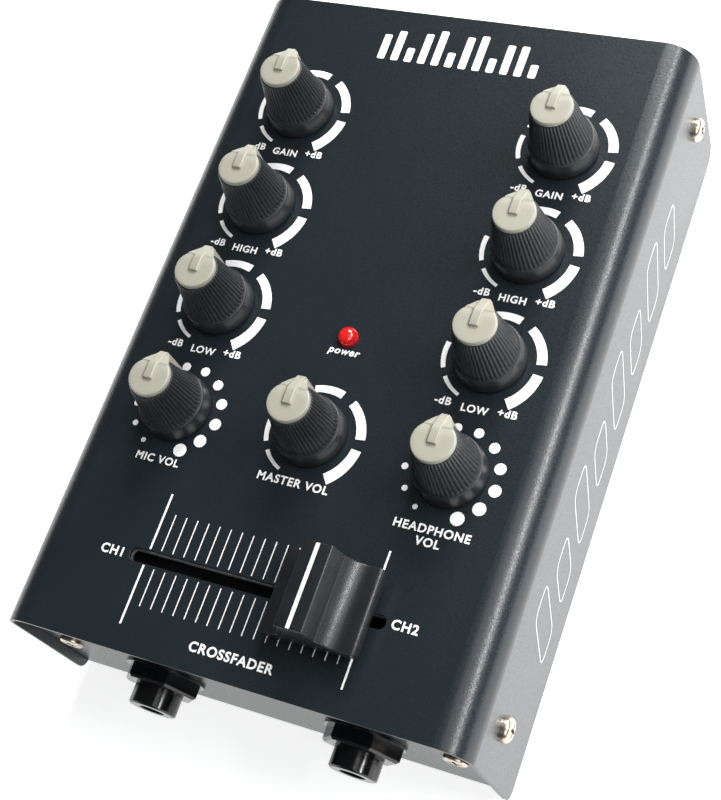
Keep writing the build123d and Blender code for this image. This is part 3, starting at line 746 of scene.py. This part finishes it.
class MIXER_OT_knobs(bpy.types.Operator):
    """Make the fluted knob bodies"""

    bl_idname = "mixer.knobs"
    bl_label = "Knobs"

    def execute(self, context):
        """Rows run from the top's edge down the grip, over the collar, and up inside to the bore's end.

        A groove is d * (1 - |sin(flutes * a / 2)| ^ FLUTE_SHARPNESS) deep at angle a, with d as its
        full depth.
        """
        sizes = context.scene.mixer_sizes
        rim, grip, crown = sizes.rim_radius / MM, sizes.grip_radius / MM, sizes.grip_top_radius / MM
        collar, soft = sizes.collar_height / MM, sizes.corner / MM
        turn = np.radians(np.linspace(0, 90, 5))
        out, up = soft * (np.sin(turn) - 1), soft * (np.cos(turn) - 1)
        for name in CONTROLS:
            low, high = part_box("knob_" + name)
            base, foot, height = (high.x - low.x) / 2 / MM, (low.z - TOP) / MM, (high.z - TOP) / MM
            cavity, roof = base - COLLAR_WALL, collar - COLLAR_ROOF
            edge = np.column_stack([crown + out, height + up])
            down = np.linspace(*FLUTE_SPAN, FLUTE_ROWS)
            side = np.column_stack([crown + (grip - crown) * down, height - (height - collar) * down])
            seat = [(grip + COLLAR_SEAT[0], collar + COLLAR_SEAT[1])]
            shoulder = np.column_stack([rim + out, collar + up])
            lip = np.column_stack([base + LIP_SOFT * up, foot - LIP_SOFT * out])
            inside = [(cavity, foot), (cavity, roof), (BORE_RADIUS, roof), (BORE_RADIUS, height - BORE_ROOF)]
            profile = np.vstack([edge, side, seat, shoulder, lip, inside])
            share = np.zeros(len(profile))
            share[1:len(edge)] = np.linspace(FLUTE_FADE, 1, len(edge) - 1)
            share[len(edge):len(edge) + len(side)] = 1
            count = sizes.flutes * FLUTE_POINTS
            wave = np.abs(np.sin(np.arange(count) / count * math.pi * sizes.flutes))
            depth = sizes.flute_depth / MM * (1 - wave ** FLUTE_SHARPNESS)
            profile[:, 1] += TOP / MM
            points = turned(profile, count, place_of(name), (share, depth))
            piece_from("knob_body_" + name, rings(points[:, ::-1]), "control_" + name,
                       knob_abs, ["knob_" + name], sharp=40.0)
        return {"FINISHED"}


class MIXER_OT_pointer_caps(bpy.types.Operator):
    """Make the pointer caps"""

    bl_idname = "mixer.pointer_caps"
    bl_label = "Pointer caps"

    def execute(self, context):
        """A turned disc, a bevelled pointer and the web beside it, joined for each control.

        On the pointer's side the disc falls by CAP_FALL * t^2, t going from 0 at FALL_START to 1 at
        its rim. The pointer's section goes from one root over the crown to the other and is carried
        along its spine, and the web is a low roof carried the same way.
        """
        sizes = context.scene.mixer_sizes
        radius, thick, soft = sizes.cap_radius / MM, sizes.cap_thickness / MM, sizes.corner / MM
        turn = np.radians(np.linspace(0, 90, 5))
        rim = np.column_stack([radius - soft + soft * np.sin(turn), soft * np.cos(turn) - soft])
        top = [(share * (radius - soft), 0) for share in DISC_ROWS]
        profile = np.vstack([top, rim, [(radius, DISC_LIFT - thick)]])
        plate = turned(profile, DISC_POINTS, (0, 0))[:, ::-1]
        t = np.clip((plate[..., 1] - FALL_START) / (radius - FALL_START), 0, 1)
        plate[..., 2] -= CAP_FALL * t ** 2 * (plate[..., 2] + thick) / thick
        for name in CONTROLS:
            x, y = place_of(name)
            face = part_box("knob_" + name)[1].z / MM + thick
            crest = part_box("pointer_cap_" + name)[1].z / MM - face
            points, faces = joined([rings(plate), self.pointer(crest), self.web(crest)])
            piece_from("pointer_" + name, (points + (x, y, face), faces), "control_" + name,
                       cream_abs, ["pointer_cap_" + name], sharp=32.0)
        return {"FINISHED"}

    @staticmethod
    def pointer(crest):
        """The pointer, from the crest's height above the disc."""
        outer_y, drop, half, root_y, root_drop = np.array(POINTER_SPINE).T
        outer = np.column_stack([outer_y, crest - drop])
        root = np.column_stack([root_y, crest - root_drop])
        cut = np.minimum(POINTER_BEVEL, half * 0.5)
        inward = (root - outer) / np.linalg.norm(root - outer, axis=1)[:, None]
        step = outer + inward * cut[:, None]
        wide = half * POINTER_ROOT
        across = np.stack([-wide, -half, cut - half, half - cut, half, wide], 1)
        line = np.stack([root, step, outer, outer, step, root], 1)
        return rings(np.concatenate([across[:, :, None], line], axis=2))

    @staticmethod
    def web(crest):
        """The web beside the pointer, from the crest's height above the disc."""
        reach, half, edge, beside = np.array(POINTER_WEB).T
        inner = half * WEB_SHOULDER
        across = np.stack([-half, -half, -inner, inner, half, half], 1)
        level = crest - np.stack([edge + WEB_THICK, edge, beside, beside, edge, edge + WEB_THICK], 1)
        along = np.broadcast_to(reach[:, None], across.shape)
        return rings(np.stack([across, along, level], 2))


class MIXER_OT_fader_cap(bpy.types.Operator):
    """Make the crossfader's cap and its white line"""

    bl_idname = "mixer.fader_cap"
    bl_label = "Fader cap"

    def execute(self, context):
        """One outline is carried front to back, drawn in by a quarter circle at each end, and leant.

        Beside the ridge the wing's height is w + (f - w)(1 - t)^CAP_SCOOP, t going from 0 at the
        ridge's foot to 1 where the wing is level.
        """
        sizes = context.scene.mixer_sizes
        low, high = (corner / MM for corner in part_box("fader_cap"))
        middle, cover = centre("fader_lever") / MM, TOP / MM
        t = np.linspace(0, 1, 14)
        foot, level = CAP_FOOT[0], CAP_HALF - CAP_LEVEL
        scoop = np.column_stack([foot + (level - foot) * t,
                                 CAP_WING + (CAP_FOOT[1] - CAP_WING) * (1 - t) ** CAP_SCOOP])
        end = [(CAP_HALF, CAP_WING), (CAP_HALF - CAP_UNDERCUT, CAP_BOTTOM)]
        right = np.vstack([[(CAP_RIDGE, CAP_TOP)], scoop, end])
        left = right[::-1] * (-1, 1)
        soft = np.zeros(len(right))
        soft[[0, 1, -2, -1]] = CAP_SOFT
        outline = softened(np.vstack([right, left]), np.concatenate([soft, soft[::-1]]))
        edge, depth = sizes.corner / MM, (high.y - low.y) / 2
        turn = np.radians(np.linspace(0, 90, 5))
        inset = edge * (1 - np.cos(turn))[::-1]
        place = -depth + edge * (1 - np.sin(turn))[::-1]
        place, drawn = np.concatenate([place, -place[::-1]]), np.concatenate([inset, inset[::-1]])
        section = outline[None] - drawn[:, None, None] * normals(outline)[None]
        points = self.leaning(section[..., 0], np.repeat(place[:, None], len(outline), 1), section[..., 1])
        points += (middle.x, middle.y, cover)
        piece_from("fader_cap_body", rings(points), "crossfader", fader_abs,
                   ["fader_cap"], sharp=50.0)
        half, reach = sizes.line_width / 2 / MM, depth - LINE_ROUND
        strip = softened(bar((-half, half), (-reach, reach)), [LINE_ROUND] * 4)
        points, faces = slab(strip, CAP_TOP - LINE_SUNK, CAP_TOP + INK)
        points = self.leaning(*points.T) + (middle.x, middle.y, cover)
        piece_from("fader_cap_line", (points, faces), "crossfader", screen_ink)
        return {"FINISHED"}

    @staticmethod
    def leaning(x, y, z):
        """Turns points about the lever by the cap's lean, its channel 2 side up."""
        lean, up = math.radians(CAP_LEAN), z - CAP_PIVOT
        return np.stack([x * math.cos(lean) - up * math.sin(lean), y,
                         x * math.sin(lean) + up * math.cos(lean) + CAP_PIVOT], -1)


class MIXER_OT_power_light(bpy.types.Operator):
    """Make the power light"""

    bl_idname = "mixer.power_light"
    bl_label = "Power light"

    def execute(self, context):
        """A flange, a straight body and a half sphere, turned about the light's axis."""
        low, high = (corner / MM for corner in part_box("power_light"))
        middle = (low + high) / 2
        flange = (high.x - low.x) / 2
        turn = np.radians(np.linspace(1, 90, 16))
        dome = np.column_stack([np.sin(turn), np.cos(turn) - 1]) * LENS_RADIUS + (0, high.z)
        radii = (LENS_RADIUS, LENS_RADIUS, flange, flange)
        body = np.column_stack([radii, low.z + np.array([*LENS_FOOT, 0])])
        points = turned(np.vstack([dome, body]), 48, (middle.x, middle.y))
        piece_from("power_light_lens", rings(points[:, ::-1]), "case", red_epoxy_lens,
                   ["power_light"])
        return {"FINISHED"}


class MIXER_OT_print(bpy.types.Operator):
    """Print the scales, labels and motifs on the case"""

    bl_idname = "mixer.print"
    bl_label = "Print"

    def execute(self, context):
        """Labels, arcs, dots, fader scale, bars and side outlines, each group one piece of thin ink."""
        low, high = TOP / MM - INK, TOP / MM + INK
        front = FRONT / MM
        letters = []
        for text, x, y, size, slant, stretch in words():
            points, faces = text_shape(text, size, slant, stretch)
            letters.append((points + (x, y, high), faces))
        self.put("printed_labels", letters)

        arcs = []
        for name in SCALED:
            first, last = SCALE_ARCS[0][0], SCALE_ARCS[-1][1]
            for start, end in SCALE_ARCS:
                wide = [ARC_INNER + np.interp(a, (first, last), ARC_WIDTH) for a in (start, end)]
                arcs.append(slab(arc_band(place_of(name), ARC_INNER, wide, start, end), low, high))
        self.put("printed_arcs", arcs)

        dots = []
        for name in DOTTED:
            for i in range(DOT_COUNT):
                angle = math.radians(DOT_START + i * DOT_STEP)
                place = place_of(name) + DOT_RING * np.array([math.sin(angle), math.cos(angle)])
                radius = DOT_RADII[0] + (DOT_RADII[1] - DOT_RADII[0]) * i / (DOT_COUNT - 1)
                dots.append(slab(disc(place, radius), low, high))
        self.put("printed_dots", dots)

        lines = []
        between = np.linspace(-FADER_END, FADER_END, FADER_TICKS + 2)[1:-1]
        for rows, (half, spans) in (((-FADER_END, FADER_END), END_LINE), (between, TICK_LINE)):
            lines += [slab(bar((x - half, x + half), (front + a, front + b)), low, high)
                      for x in rows for a, b in spans]
        self.put("printed_fader_scale", lines)

        bars = []
        foot = front + MOTIF_FOOT
        for i in range(MOTIF_BARS):
            x = MOTIF_START + i * MOTIF_STEP
            shape = bar((x, x + MOTIF_WIDTH), (foot, foot + self.bar_height(i)))
            bars.append(slab(softened(shape, [MOTIF_ROUND] * 4), low, high))
        self.put("printed_motif", bars)

        # slanted outlines along the channel 2 side, drawn flat and then stood up against it
        band = []
        for i in range(BAND_COUNT):
            y = front + BAND_START + i * BAND_STEP
            tall = BAND_SIZE[1] - BAND_SHORTER * (i % 2)
            shape = softened(bar((0, BAND_SIZE[0]), (0, tall)), [BAND_ROUND] * 4, steps=8)
            shape[:, 0] += BAND_SLANT * shape[:, 1]
            inner = shape + BAND_LINE * normals(shape)
            loops = np.stack([shape, shape, inner, inner])
            height = np.array([-INK, INK, INK, -INK])[:, None]
            flat = np.concatenate([loops, np.repeat(height[:, :, None], len(shape), 1)], 2)
            points, faces = rings(np.concatenate([flat, flat[:1]]), closed_ends=False)
            points = np.column_stack([SIDE / MM + points[:, 2], points[:, 0] + y, points[:, 1] + BAND_FOOT])
            band.append((points, faces))
        self.put("printed_side_band", band)
        return {"FINISHED"}

    @staticmethod
    def bar_height(i):
        """Height of bar i: the least height, plus a wave along the row under one hump over all of it."""
        least, added = MOTIF_TALL
        wave = abs(math.sin(MOTIF_WAVE[0] + i * MOTIF_WAVE[1]))
        hump = MOTIF_HUMP[0] + MOTIF_HUMP[1] * math.sin(math.pi * (i + 0.5) / MOTIF_BARS)
        return least + added * wave * hump

    @staticmethod
    def put(name, shapes):
        """One printed piece on the case from several shapes."""
        piece_from(name, joined(shapes), "case", screen_ink)


# ---- the studio, in metres and watts ----
FLOOR_HALF = 3.0
AIR = ((0.93, 0.96, 1.0), 0.1)  # colour and strength of the light from all round
LIGHTS = (  # name, place, aim, width, height, power
    ("ceiling_light", (0.15, 1.1, 0.85), (0, 0, 0.04), 0.6, 0.6, 21.0),
    ("fill_light", (0.75, -0.7, 0.85), (0, 0, 0.04), 0.6, 0.6, 5.0),
    ("edge_light", (0.51, 0.22, 0.52), (0.06, 0, 0.04), 0.7, 0.06, 4.6),
    ("floor_light", (0.24, 0.06, 0.3), (0.09, 0, 0), 0.2, 0.35, 0.4),
)
CAMERA_AIM = (8.6 * MM, -18.5 * MM, 50.5 * MM)
CAMERA_AWAY = 377.9 * MM
CAMERA_HEADING, CAMERA_DIP, CAMERA_ROLL = 49.5, 60.25, 32.9  # degrees
CAMERA_LENS = 71.94  # mm
CAMERA_CLIP = (0.01, 20.0)


class MIXER_OT_studio(bpy.types.Operator):
    """Set up the floor, the lights and the camera"""

    bl_idname = "mixer.studio"
    bl_label = "Studio"

    def execute(self, context):
        """The camera looks along a heading from +Y towards -X and a dip below level, and is rolled."""
        scene = context.scene
        corners = bar((-FLOOR_HALF, FLOOR_HALF), (-FLOOR_HALF, FLOOR_HALF))
        mesh = bpy.data.meshes.new("floor")
        mesh.from_pydata(np.column_stack([corners, np.zeros(4)]).tolist(), [], [[0, 1, 2, 3]])
        floor = bpy.data.objects.new("floor", mesh)
        scene.collection.objects.link(floor)
        dress(studio_paper, floor)

        scene.world = bpy.data.worlds.new("studio_air")
        scene.world.use_nodes = True
        scene.world.node_tree.nodes.clear()
        sky = scene.world.node_tree
        air = add(sky, "ShaderNodeBackground", {"Color": AIR[0], "Strength": AIR[1]})
        add(sky, "ShaderNodeOutputWorld", {"Surface": air.outputs[0]})

        for name, spot, aim, size, tall, power in LIGHTS:
            lamp = bpy.data.lights.new(name, "AREA")
            lamp.shape, lamp.size, lamp.size_y, lamp.energy = "RECTANGLE", size, tall, power
            holder = bpy.data.objects.new(name, lamp)
            holder.location = spot
            holder.rotation_euler = (Vector(aim) - Vector(spot)).to_track_quat("-Z", "Y").to_euler()
            holder.visible_camera = False
            scene.collection.objects.link(holder)

        heading, dip = math.radians(CAMERA_HEADING), math.radians(CAMERA_DIP)
        roll = math.radians(CAMERA_ROLL)
        facing = Vector((-math.sin(heading), math.cos(heading), 0))
        ahead = facing * math.cos(dip) - Vector((0, 0, math.sin(dip)))
        level = ahead.cross(Vector((0, 0, 1))).normalized()
        upright = level.cross(ahead)
        right = math.cos(roll) * level - math.sin(roll) * upright
        up = right.cross(ahead)
        turn = Matrix((right, up, -ahead)).transposed()
        camera = bpy.data.objects.new("camera", bpy.data.cameras.new("camera"))
        camera.data.lens = CAMERA_LENS
        camera.data.clip_start, camera.data.clip_end = CAMERA_CLIP
        camera.matrix_world = Matrix.Translation(Vector(CAMERA_AIM) - ahead * CAMERA_AWAY) @ turn.to_4x4()
        scene.collection.objects.link(camera)
        scene.camera = camera
        scene.view_settings.view_transform = "Standard"
        return {"FINISHED"}


OPERATORS = (MIXER_OT_case, MIXER_OT_inside, MIXER_OT_sockets, MIXER_OT_knobs, MIXER_OT_pointer_caps,
             MIXER_OT_fader_cap, MIXER_OT_power_light, MIXER_OT_print, MIXER_OT_studio)


class MIXER_PT_panel(bpy.types.Panel):
    """Lists the mixer's pieces and their settings"""

    bl_label = "Mixer"
    bl_idname = "MIXER_PT_panel"
    bl_space_type = "VIEW_3D"
    bl_region_type = "UI"
    bl_category = "Mixer"

    def draw(self, context):
        for operator in OPERATORS:
            self.layout.operator(operator.bl_idname)
        for group in (context.scene.mixer_sizes, context.scene.mixer_colours):
            box = self.layout.box()
            for name in group.__annotations__:
                box.prop(group, name)


CLASSES = (MixerSizes, MixerColours, *OPERATORS, MIXER_PT_panel)


def register():
    for each in CLASSES:
        bpy.utils.register_class(each)
    bpy.types.Scene.mixer_sizes = PointerProperty(type=MixerSizes)
    bpy.types.Scene.mixer_colours = PointerProperty(type=MixerColours)


def unregister():
    del bpy.types.Scene.mixer_sizes
    del bpy.types.Scene.mixer_colours
    for each in reversed(CLASSES):
        bpy.utils.unregister_class(each)


def main():
    register()
    bpy.ops.mixer.case()
    bpy.ops.mixer.inside()
    bpy.ops.mixer.sockets()
    bpy.ops.mixer.knobs()
    bpy.ops.mixer.pointer_caps()
    bpy.ops.mixer.fader_cap()
    bpy.ops.mixer.power_light()
    bpy.ops.mixer.print()
    bpy.ops.mixer.studio()


if __name__ == "__main__":
    main()
